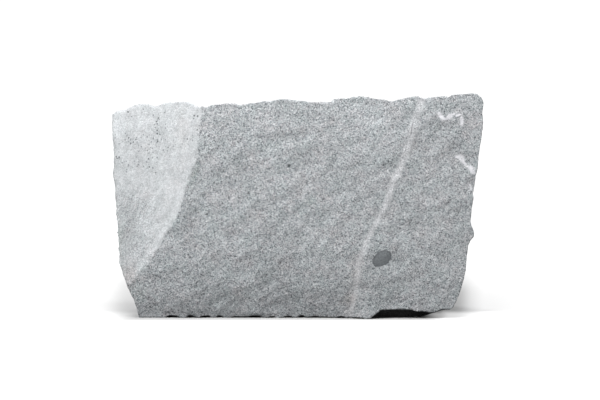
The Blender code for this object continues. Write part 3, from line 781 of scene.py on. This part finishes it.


# convexity, kept for painted shade in hollows and painted light on what stands out
keep_field(me, "ridge", convexity(me, p))
# painted shade: the underside where it rises off the ground, in the recess and in the small gaps
# under the front edge
under = (np.argmax(bounds_at(p), axis=1) == BOTTOM) * step(0.0004, 0.0012, p[:, 2] - GROUND)
keep_field(me, "under", under * step(0.045, 0.025, p[:, 2] - GROUND))

# ------------------------------------------------------------ the bake's map
def bake_map(me):
    """A box projection whose six sheets share one square, with the front the
    largest. Faces are sorted by smoothed normals, so each sheet is whole."""
    n = len(me.vertices)
    normal = np.empty(n * 3, np.float32)
    me.vertex_normals.foreach_get("vector", normal)
    normal = normal.reshape(-1, 3).astype(float)
    edges = np.empty(len(me.edges) * 2, np.int32)
    me.edges.foreach_get("vertices", edges)
    edges = edges.reshape(-1, 2)
    for _ in range(10):
        total = normal.copy()
        for k in range(3):
            total[:, k] += np.bincount(edges[:, 0], normal[edges[:, 1], k], n)
            total[:, k] += np.bincount(edges[:, 1], normal[edges[:, 0], k], n)
        normal = unit(total)
    corners = np.empty(len(me.loops), np.int32)
    me.loops.foreach_get("vertex_index", corners)
    starts = np.empty(len(me.polygons), np.int32)
    totals = np.empty(len(me.polygons), np.int32)
    me.polygons.foreach_get("loop_start", starts)
    me.polygons.foreach_get("loop_total", totals)
    face_of = np.repeat(np.arange(len(starts)), totals)
    fn = np.stack([np.bincount(face_of, normal[corners, k], len(starts))
                   for k in range(3)], axis=1)
    score = np.stack([-fn[:, 1] * 1.25, fn[:, 1], -fn[:, 0], fn[:, 0], fn[:, 2],
                      -fn[:, 2]], axis=1)
    side = np.argmax(score, axis=1)[face_of]
    co = vertex_array(me)[corners]
    x, y, z = co[:, 0] + 0.625, co[:, 1] + 0.310, co[:, 2]
    # side: (across, up, metres per square side, left, bottom)
    sheets = [(x, z, 1.70, 0.004, 0.004), (1.25 - x, z, 2.20, 0.004, 0.440),
              (0.62 - y, z, 2.20, 0.575, 0.440), (y, z, 2.55, 0.746, 0.004),
              (x, y, 2.85, 0.004, 0.778), (x, 0.62 - y, 2.85, 0.446, 0.778)]
    uv = np.zeros((len(corners), 2))
    for k, (a, b, scale, left, bottom) in enumerate(sheets):
        on = side == k
        uv[on, 0] = left + a[on] / scale
        uv[on, 1] = bottom + b[on] / scale
    # Object axes agree with the design, so the sheet sizes hold: 1.24 x 0.73 m
    # front and back, 0.61 x 0.73 m ends, 1.24 x 0.61 m top and underside.
    layer = me.uv_layers.new(name="OFBake")
    layer.data.foreach_set("uv", np.ascontiguousarray(uv, np.float32).ravel())
    print("bake map reaches", uv.min(0).round(3), uv.max(0).round(3))


bake_map(me)

# ------------------------------------------------------------- the material
def srgb(r, g, b):
    def one(v):
        v /= 255.0
        return v / 12.92 if v <= 0.04045 else ((v + 0.055) / 1.055) ** 2.4
    return (one(r), one(g), one(b), 1.0)


class Nodes:
    """Short names for the few kinds of node that the stone needs."""

    def __init__(self, material):
        material.use_nodes = True
        self.tree = material.node_tree
        self.tree.nodes.clear()

    def node(self, kind, **settings):
        n = self.tree.nodes.new(kind)
        for k, v in settings.items():
            setattr(n, k, v)
        return n

    def put(self, socket, value):
        if hasattr(value, "is_output"):
            self.tree.links.new(value, socket)
        else:
            socket.default_value = value

    def math(self, op, a, b=0.0, c=None, clamp=False):
        n = self.node("ShaderNodeMath", operation=op, use_clamp=clamp)
        self.put(n.inputs[0], a)
        self.put(n.inputs[1], b)
        if c is not None:
            self.put(n.inputs[2], c)
        return n.outputs[0]

    def vmath(self, op, a, b):
        n = self.node("ShaderNodeVectorMath", operation=op)
        self.put(n.inputs[0], a)
        self.put(n.inputs[1], b)
        return n.outputs["Vector"]

    def field(self, name):
        n = self.node("ShaderNodeAttribute", attribute_type="GEOMETRY",
                      attribute_name=name)
        return n.outputs["Fac"]

    def noise(self, where, size, detail=2.0, rough=0.5, distortion=0.0, colour=False):
        n = self.node("ShaderNodeTexNoise", noise_dimensions="3D")
        self.put(n.inputs["Vector"], where)
        n.inputs["Scale"].default_value = 1.0 / size
        n.inputs["Detail"].default_value = detail
        n.inputs["Roughness"].default_value = rough
        n.inputs["Distortion"].default_value = distortion
        return n.outputs["Color" if colour else "Fac"]

    def cells(self, where, size, feature="F1", randomness=1.0):
        n = self.node("ShaderNodeTexVoronoi", voronoi_dimensions="3D", feature=feature)
        self.put(n.inputs["Vector"], where)
        n.inputs["Scale"].default_value = 1.0 / size
        n.inputs["Randomness"].default_value = randomness
        return n

    def spread(self, value, a, b, c=0.0, d=1.0, kind="LINEAR"):
        n = self.node("ShaderNodeMapRange", interpolation_type=kind, clamp=True)
        self.put(n.inputs["Value"], value)
        for k, v in zip(("From Min", "From Max", "To Min", "To Max"), (a, b, c, d)):
            self.put(n.inputs[k], v)
        return n.outputs["Result"]

    def ramp(self, value, stops, kind="LINEAR"):
        n = self.node("ShaderNodeValToRGB")
        self.put(n.inputs["Fac"], value)
        r = n.color_ramp
        r.interpolation = kind
        while len(r.elements) > 1:
            r.elements.remove(r.elements[-1])
        r.elements[0].position, r.elements[0].color = stops[0]
        for pos, col in stops[1:]:
            e = r.elements.new(pos)
            e.color = col
        return n.outputs["Color"]

    def mix(self, fac, a, b, blend="MIX"):
        n = self.node("ShaderNodeMix", data_type="RGBA", blend_type=blend)
        self.put(n.inputs["Factor"], fac)
        self.put(n.inputs[6], a)
        self.put(n.inputs[7], b)
        return n.outputs[2]

    def mixf(self, fac, a, b):
        n = self.node("ShaderNodeMix", data_type="FLOAT")
        self.put(n.inputs["Factor"], fac)
        self.put(n.inputs[2], a)
        self.put(n.inputs[3], b)
        return n.outputs[0]


def grey(v):
    return (v, v, v, 1.0)


def granite():
    m = bpy.data.materials.new("granite_split")
    k = Nodes(m)
    where = k.node("ShaderNodeTexCoord").outputs["Object"]
    height_up = k.node("ShaderNodeSeparateXYZ")
    k.put(height_up.inputs[0], where)
    height_up = height_up.outputs[2]
    # The grains' borders are a little ragged.
    wobble = k.vmath("SUBTRACT", k.noise(where, 0.0035, 2.0, colour=True), (0.5, 0.5, 0.5))
    ragged = k.vmath("ADD", where, k.vmath("MULTIPLY", wobble, (0.0022, 0.0022, 0.0022)))

    # Each grain has its own mineral: black mica, grey quartz, white feldspar.
    small = k.cells(ragged, 0.0027)
    large = k.cells(ragged, 0.0050)
    of_small = k.node("ShaderNodeSeparateColor")
    k.put(of_small.inputs[0], small.outputs["Color"])
    of_large = k.node("ShaderNodeSeparateColor")
    k.put(of_large.inputs[0], large.outputs["Color"])
    mineral = k.ramp(of_small.outputs[0], [
        (0.00, srgb(66, 69, 72)), (0.10, srgb(84, 87, 91)), (0.13, srgb(128, 133, 137)),
        (0.34, srgb(152, 156, 160)), (0.50, srgb(173, 177, 180)),
        (0.72, srgb(196, 199, 202)), (0.90, srgb(214, 216, 218)),
        (1.00, srgb(236, 237, 238))])
    coarse = k.ramp(of_large.outputs[0], [
        (0.00, srgb(120, 124, 128)), (0.20, srgb(150, 154, 158)),
        (0.55, srgb(174, 178, 181)), (0.85, srgb(192, 195, 198)),
        (1.00, srgb(206, 209, 211))])
    colour = k.mix(0.27, mineral, coarse)
    # A faint warm or cool cast from grain to grain.
    cast = k.ramp(of_large.outputs[1], [
        (0.0, srgb(200, 184, 184)), (0.3, grey(0.5)), (0.7, grey(0.5)),
        (1.0, srgb(180, 192, 188))])
    colour = k.mix(0.40, colour, cast, "SOFT_LIGHT")

    drift = k.ramp(k.noise(where, 0.060, 4.0, 0.62), [
        (0.30, (1.000, 0.970, 0.965, 1.0)), (0.47, (1.0, 1.0, 1.0, 1.0)),
        (0.55, (0.985, 1.0, 0.997, 1.0)), (0.72, (0.955, 0.992, 0.982, 1.0))])
    colour = k.mix(1.0, colour, drift, "MULTIPLY")

    # Clouding, at the scale of a hand and of the whole face.
    cloud = k.noise(where, 0.050, 3.0, 0.55)
    wide = k.noise(where, 0.26, 2.0, 0.5)
    gain = k.math("ADD", k.spread(cloud, 0.25, 0.75, 0.875, 1.025),
                  k.spread(wide, 0.3, 0.7, -0.03, 0.03))
    # the light and dark areas: the stone's tone together with painted shade and painted light
    gain = k.math("ADD", gain, k.field("shade"))
    # painted shade in hollows and painted light on what stands out
    gain = k.math("ADD", gain, k.math("MULTIPLY", k.field("ridge"), 0.035))
    # painted shade: darker towards the foot, where it stands on the ground
    gain = k.math("SUBTRACT", gain, k.spread(height_up, 0.0, 0.30, 0.060, 0.0, "SMOOTHSTEP"))

    # The scar: the same stone bruised pale, its grains half hidden in dust.
    edge = k.noise(where, 0.009, 3.0, 0.62)
    wander = k.spread(height_up, 0.47, 0.62, 0.005, 0.022, "SMOOTHSTEP")
    edge = k.math("MULTIPLY", k.math("SUBTRACT", edge, 0.5), wander)
    on_scar = k.spread(k.math("ADD", k.field("scar"), edge),
                       -0.0056, -0.0022, 0.0, 1.0, "SMOOTHSTEP")
    on_scar = k.math("MULTIPLY", on_scar, k.spread(height_up, 0.085, 0.150, 0.35, 1.0,
                                                   "SMOOTHSTEP"))
    dust = k.ramp(k.noise(where, 0.028, 4.0, 0.62), [
        (0.28, srgb(164, 169, 172)), (0.50, srgb(197, 201, 204)),
        (0.72, srgb(224, 227, 229))])
    torn = k.field("torn")            # low on the left, where the grains show more
    bruised = k.mix(k.mixf(torn, 0.44, 0.12), colour, dust)
    bruised = k.mix(k.mixf(torn, 0.14, 0.08), bruised, grey(0.86))
    # streaks drawn out along the run of the break, up to the right
    turned = k.node("ShaderNodeMapping", vector_type="TEXTURE")
    k.put(turned.inputs["Vector"], where)
    turned.inputs["Rotation"].default_value = (0.0, math.radians(-62.0), 0.0)
    turned.inputs["Scale"].default_value = (3.6, 3.0, 1.0)
    streak = k.noise(turned.outputs[0], 0.014, 3.0, 0.6)
    streak = k.spread(streak, 0.3, 0.7, -0.065, 0.060)
    streak = k.math("MULTIPLY", streak, k.mixf(torn, 1.0, 2.5))
    thin = k.spread(k.noise(turned.outputs[0], 0.0055, 3.0, 0.62), 0.3, 0.7, -0.055, 0.055)
    streak = k.math("ADD", streak, k.math("MULTIPLY", thin,
                                          k.mixf(torn, 0.45, 1.7)))
    streak = k.math("ADD", streak, k.mixf(torn, 0.024, 0.130))
    bruised = k.vmath("SCALE", bruised, (0.0, 0.0, 0.0))
    k.put(bruised.node.inputs["Scale"], k.math("ADD", streak, 1.0))
    # dark specks in clusters
    speck = k.cells(ragged, 0.0074)
    of_speck = k.node("ShaderNodeSeparateColor")
    k.put(of_speck.inputs[0], speck.outputs["Color"])
    chance = k.math("SUBTRACT", 1.02, k.math("MULTIPLY", k.field("clusters"), 0.50))
    on_speck = k.math("GREATER_THAN", of_speck.outputs[0], chance)
    on_speck = k.math("MULTIPLY", on_speck, k.spread(speck.outputs["Distance"],
                                                     0.22, 0.55, 1.0, 0.0, "SMOOTHSTEP"))
    on_speck = k.math("MULTIPLY", on_speck, k.spread(of_speck.outputs[1], 0.0, 1.0, 0.45, 0.95))
    bruised = k.mix(on_speck, bruised, srgb(118, 123, 127))
    bruised = k.mix(k.math("MULTIPLY", k.field("clusters"), 0.10), bruised, srgb(150, 155, 158))
    colour = k.mix(on_scar, colour, bruised)

    # The pale vein: more and whiter feldspar, fading out at both sides.
    across = k.field("vein")
    bend = k.math("MULTIPLY", k.math("SUBTRACT", k.noise(where, 0.018, 4.0, 0.65), 0.5), 0.008)
    across_now = k.math("ABSOLUTE", k.math("ADD", across, bend))
    on_vein = k.math("ADD", k.spread(across_now, 0.0028, 0.0092, 0.54, 0.0, "SMOOTHSTEP"),
                     k.spread(across_now, 0.0065, 0.0150, 0.32, 0.0, "SMOOTHSTEP"))
    patchy = k.spread(k.noise(where, 0.022, 3.0, 0.6), 0.30, 0.55, 0.62, 1.0)
    vein_tone = k.ramp(of_small.outputs[1], [
        (0.0, srgb(142, 145, 149)), (0.25, srgb(190, 192, 195)),
        (0.60, srgb(216, 217, 220)), (1.0, srgb(244, 245, 247))])
    patchy = k.math("MULTIPLY", patchy, k.field("vein_strength"))
    colour = k.mix(k.math("MULTIPLY", on_vein, patchy), colour, vein_tone)
    # a hairline along the vein, high on the front
    line = k.spread(k.math("ABSOLUTE", k.math("ADD", across, 0.0010)),
                    0.0006, 0.0018, 1.0, 0.0)
    span = k.math("MULTIPLY", k.spread(height_up, 0.590, 0.603, 0.0, 1.0),
                  k.spread(height_up, 0.634, 0.646, 1.0, 0.0))
    colour = k.mix(k.math("MULTIPLY", k.math("MULTIPLY", line, span), 0.60), colour,
                   srgb(92, 95, 98))

    # The dark enclave: finer and darker, with a slightly darker rim.
    enclave = k.math("ADD", k.field("enclave"), k.math(
        "MULTIPLY", k.math("SUBTRACT", k.noise(where, 0.012, 3.0, 0.6), 0.5), 0.16))
    on_enclave = k.spread(enclave, 0.96, 1.04, 1.0, 0.0, "SMOOTHSTEP")
    rim = k.spread(enclave, 0.70, 1.0, 0.0, 1.0, "SMOOTHSTEP")
    enclave_tone = k.mix(rim, srgb(112, 117, 120), srgb(96, 101, 104))
    enclave_tone = k.mix(0.13, enclave_tone, mineral)
    colour = k.mix(on_enclave, colour, enclave_tone)

    # White feldspar patches at the right.
    marks = k.math("ADD", k.field("marks"), k.math(
        "MULTIPLY", k.math("SUBTRACT", k.noise(where, 0.0065, 4.0, 0.7), 0.5), 0.0170))
    on_marks = k.math("ADD", k.spread(marks, -0.0020, 0.0024, 0.70, 0.0, "SMOOTHSTEP"),
                      k.spread(marks, -0.0010, 0.0075, 0.24, 0.0, "SMOOTHSTEP"))
    colour = k.mix(on_marks, colour,
                   k.mix(of_small.outputs[1], srgb(226, 226, 232), srgb(250, 250, 253)))

    # Single dark spots, and warm and green casts.
    flat = k.vmath("MULTIPLY", where, (1.0, 0.15, 1.0))
    nearest = 9.0
    for x, z, r in SPOTS:
        at = np.array(on_scar_at(x, z)) + SHIFT
        gap = k.node("ShaderNodeVectorMath", operation="DISTANCE")
        k.put(gap.inputs[0], flat)
        gap.inputs[1].default_value = (at[0], 0.15 * at[1], at[2])
        nearest = k.math("MINIMUM", k.math("DIVIDE", gap.outputs["Value"], 1.15 * r), nearest)
    nearest = k.math("ADD", nearest, k.math(
        "MULTIPLY", k.math("SUBTRACT", k.noise(where, 0.003, 2.0, 0.6), 0.5), 1.1))
    dark = k.mixf(on_scar, 0.92, 0.84)
    colour = k.mix(k.math("MULTIPLY", k.spread(nearest, 0.70, 1.30, 1.0, 0.0), dark),
                   colour, srgb(72, 77, 79))
    colour = k.mix(k.math("MULTIPLY", k.field("warm"), 0.55), colour,
                   k.mix(1.0, colour, (0.97, 0.90, 0.87, 1.0), "MULTIPLY"))
    colour = k.mix(k.math("MULTIPLY", k.field("green"), 0.55), colour,
                   k.mix(1.0, colour, (0.92, 0.98, 0.93, 1.0), "MULTIPLY"))

    scaled = k.vmath("SCALE", colour, (0.0, 0.0, 0.0))
    k.put(scaled.node.inputs["Scale"], gain)
    # Painted shade: the recess and the small gaps under the front edge are blackened where shade
    # falls under the stone.
    final = k.mix(k.math("MULTIPLY", k.field("under"), 0.93), scaled, srgb(20, 20, 20))

    # Relief finer than the mesh: grains that stand out and broken crystal faces.
    fine = k.noise(where, 0.0062, 4.0, 0.62)
    height = k.math("ADD", k.math("MULTIPLY", fine, 0.0019),
                    k.math("MULTIPLY", of_large.outputs[2], 0.00035))
    height = k.math("ADD", height, k.math("MULTIPLY", small.outputs["Distance"], -0.00035))
    height = k.math("MULTIPLY", height, k.mixf(on_scar, 1.0, 0.75))
    bump = k.node("ShaderNodeBump")
    bump.inputs["Strength"].default_value = 1.0
    bump.inputs["Distance"].default_value = 1.0
    k.put(bump.inputs["Height"], height)

    rough_value = k.spread(of_small.outputs[2], 0.86, 1.0, 0.86, 0.55)
    bsdf = k.node("ShaderNodeBsdfPrincipled")
    k.put(bsdf.inputs["Base Color"], final)
    k.put(bsdf.inputs["Roughness"], rough_value)
    bsdf.inputs["Metallic"].default_value = 0.0
    bsdf.inputs["IOR"].default_value = 1.5
    bsdf.inputs["Specular IOR Level"].default_value = 0.35
    k.put(bsdf.inputs["Normal"], bump.outputs["Normal"])
    out = k.node("ShaderNodeOutputMaterial")
    k.put(out.inputs["Surface"], bsdf.outputs["BSDF"])
    return m


me.materials.clear()
me.materials.append(granite())

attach(stone, "root")
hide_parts("granite_block")

# -------------------------------------------------------- floor, light, camera
def floor_and_light():
    bpy.ops.mesh.primitive_plane_add(size=60.0, location=(0.0, 0.0, -0.0003))
    floor = bpy.context.active_object
    floor.name = "studio_floor"
    m = bpy.data.materials.new("studio_white")
    k = Nodes(m)
    # A white floor. To the eye it glows a little, and more so away from the stone, so that it
    # stays white into the distance. Near the stone the glow is held back in a drawn shape, so
    # the shadow beside the stone is partly painted shadow, and near its ends the glow adds
    # painted light.
    where = k.node("ShaderNodeSeparateXYZ")
    k.put(where.inputs[0], k.node("ShaderNodeTexCoord").outputs["Object"])
    across, back = where.outputs[0], where.outputs[1]
    # The painted shadow beside the stone narrows towards the front and runs out behind.
    depth = k.math("ADD", k.math("MAXIMUM", back, -0.30), 3.90)
    side = k.math("DIVIDE", k.math("MULTIPLY", k.math("ABSOLUTE", across), 3.60), depth)
    ahead = k.math("SUBTRACT", -0.306, back)
    glow = k.math("ADD", k.spread(side, 0.530, 0.625, 0.0, 0.29, "SMOOTHSTEP"),
                  k.spread(side, 0.60, 1.60, 0.0, 0.55, "SMOOTHSTEP"))
    glow = k.math("ADD", glow, k.spread(back, 1.0, 4.0, 0.0, 0.80, "SMOOTHSTEP"))
    # painted light: glow on the floor near both ends in the front half, lifting the shade under
    # the recess's right end and by the left foot
    ends = k.math("MAXIMUM", k.spread(across, 0.425, 0.500, 0.0, 0.42, "SMOOTHSTEP"),
                  k.spread(across, -0.500, -0.570, 0.0, 0.20, "SMOOTHSTEP"))
    glow = k.math("ADD", glow, k.math("MULTIPLY", ends, k.spread(back, 0.0, -0.16, 0.0, 1.0,
                                                                 "SMOOTHSTEP")))
    glow = k.math("MAXIMUM", glow, k.math(
        "ADD", k.spread(ahead, 0.0, 0.03, 0.0, 0.45, "SMOOTHSTEP"),
        k.spread(ahead, 0.3, 3.0, 0.0, 0.40, "SMOOTHSTEP")))
    seen = k.node("ShaderNodeBsdfDiffuse")
    # painted shadow: the floor's colour is darker just right of the stone, from its middle back
    # to behind it
    right = k.math("MULTIPLY", k.spread(across, 0.0, 0.3, 0.0, 1.0),
                   k.math("MULTIPLY", k.spread(side, 0.525, 0.580, 1.0, 0.0, "SMOOTHSTEP"),
                          k.math("MULTIPLY", k.spread(back, -0.10, 0.10, 0.0, 1.0, "SMOOTHSTEP"),
                                 k.spread(back, 0.6, 1.6, 1.0, 0.0, "SMOOTHSTEP"))))
    k.put(seen.inputs["Color"], k.mix(right, grey(0.62), grey(0.44)))
    light = k.node("ShaderNodeEmission")
    light.inputs["Color"].default_value = (1.0, 1.0, 1.0, 1.0)
    k.put(light.inputs["Strength"], glow)
    bright = k.node("ShaderNodeAddShader")
    k.put(bright.inputs[0], seen.outputs[0])
    k.put(bright.inputs[1], light.outputs[0])
    dim = k.node("ShaderNodeBsdfDiffuse")
    dim.inputs["Color"].default_value = (0.24, 0.24, 0.24, 1.0)
    which = k.node("ShaderNodeMixShader")
    k.put(which.inputs[0], k.node("ShaderNodeLightPath").outputs["Is Camera Ray"])
    k.put(which.inputs[1], dim.outputs[0])
    k.put(which.inputs[2], bright.outputs[0])
    out = k.node("ShaderNodeOutputMaterial")
    k.put(out.inputs["Surface"], which.outputs[0])
    floor.data.materials.append(m)

    world = bpy.data.worlds.new("studio")
    bpy.context.scene.world = world
    world.use_nodes = True
    t = world.node_tree
    t.nodes.clear()
    sky = t.nodes.new("ShaderNodeBackground")
    sky.inputs["Color"].default_value = (1.0, 1.0, 1.0, 1.0)
    sky.inputs["Strength"].default_value = 0.32
    white = t.nodes.new("ShaderNodeBackground")
    white.inputs["Color"].default_value = (1.0, 1.0, 1.0, 1.0)
    white.inputs["Strength"].default_value = 1.1
    path = t.nodes.new("ShaderNodeLightPath")
    pick = t.nodes.new("ShaderNodeMixShader")
    out = t.nodes.new("ShaderNodeOutputWorld")
    t.links.new(path.outputs["Is Camera Ray"], pick.inputs[0])
    t.links.new(sky.outputs[0], pick.inputs[1])
    t.links.new(white.outputs[0], pick.inputs[2])
    t.links.new(pick.outputs[0], out.inputs["Surface"])

    def area(name, place, aim, size, watts):
        data = bpy.data.lights.new(name, "AREA")
        data.shape = "RECTANGLE"
        data.size, data.size_y = size
        data.energy = watts
        ob = bpy.data.objects.new(name, data)
        bpy.context.scene.collection.objects.link(ob)
        ob.location = place
        ob.rotation_euler = (Vector(aim) - Vector(place)).to_track_quat("-Z", "Y").to_euler()
        ob.visible_camera = False
        return ob

    area("overhead", (-0.10, -1.50, 2.10), (0.0, -0.20, 0.40), (1.6, 1.1), 33.0)
    area("key", (-2.60, -3.00, 2.90), (0.0, -0.20, 0.40), (1.5, 1.3), 124.0)
    area("right", (2.60, 0.10, 2.40), (0.30, 0.0, 0.35), (1.4, 1.2), 48.0)
    area("back", (-0.60, 2.80, 2.50), (0.0, 0.1, 0.40), (1.8, 1.2), 70.0)


floor_and_light()


def camera():
    distance = 3.6          # to the front face
    per_pixel = 0.003243    # metres on the front face
    data = bpy.data.cameras.new("camera")
    data.sensor_width = 36.0
    data.sensor_fit = "HORIZONTAL"
    data.lens = 36.0 * (distance / per_pixel) / 600.0
    data.clip_end = 200.0
    ob = bpy.data.objects.new("camera", data)
    bpy.context.scene.collection.objects.link(ob)
    ob.location = (EYE[0] + SHIFT[0], FRONT_Y + SHIFT[1] - distance, EYE[2] + SHIFT[2])
    ob.rotation_euler = (math.radians(90.0), 0.0, 0.0)
    bpy.context.scene.camera = ob


camera()
scene = bpy.context.scene
scene.view_settings.view_transform = "Standard"
scene.view_settings.look = "None"
scene.view_settings.exposure = 0.0
scene.view_settings.gamma = 1.0
